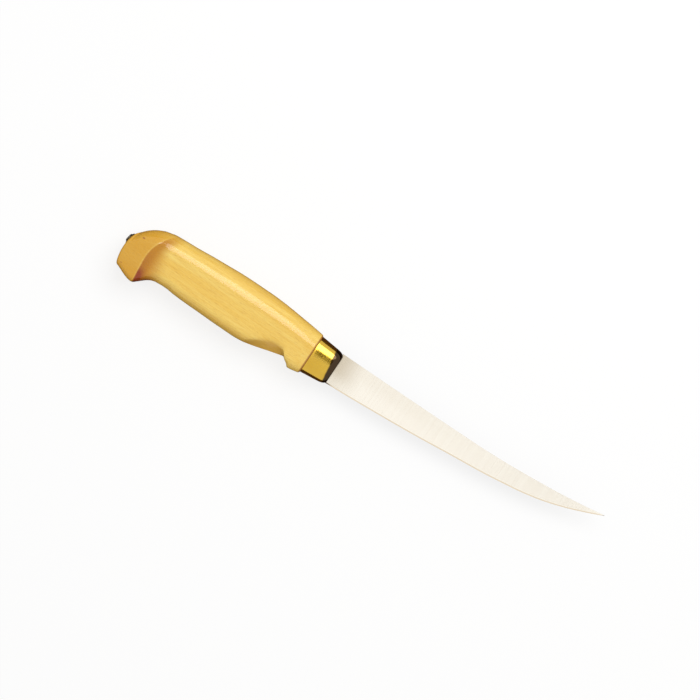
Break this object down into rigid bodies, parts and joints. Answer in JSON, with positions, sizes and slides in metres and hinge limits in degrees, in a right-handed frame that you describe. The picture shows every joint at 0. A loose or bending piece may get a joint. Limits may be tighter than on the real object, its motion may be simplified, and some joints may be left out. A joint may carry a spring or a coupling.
{
  "type": "fillet knife",
  "caption": "Fillet knife with a narrow upswept blade, a brass ferrule and a carved wooden handle with a finger notch and a beaked pommel.",
  "frame": {"origin": "middle of the knife's length and of its height from edge side to spine side, on the plane that the widest part of the pommel touches when the knife lies level on its side", "axes": "+X from the butt to the tip, +Y from the cutting edge to the spine, +Z out of the side that faces up"},
  "size_m": [0.27, 0.0344, 0.022],
  "materials": {
    "blade_steel": "satin ground stainless steel",
    "ferrule_brass": "polished",
    "varnished_birch": "clear gloss varnish over golden birch",
    "bedding_resin": "cured cutler's resin",
    "washer_brass": "tarnished"
  },
  "bodies": {
    "root": {"blade": "blade_steel", "ferrule": "ferrule_brass", "handle": "varnished_birch", "tang_bedding": "bedding_resin", "butt_washer": "washer_brass"}
  },
  "joints": []
}
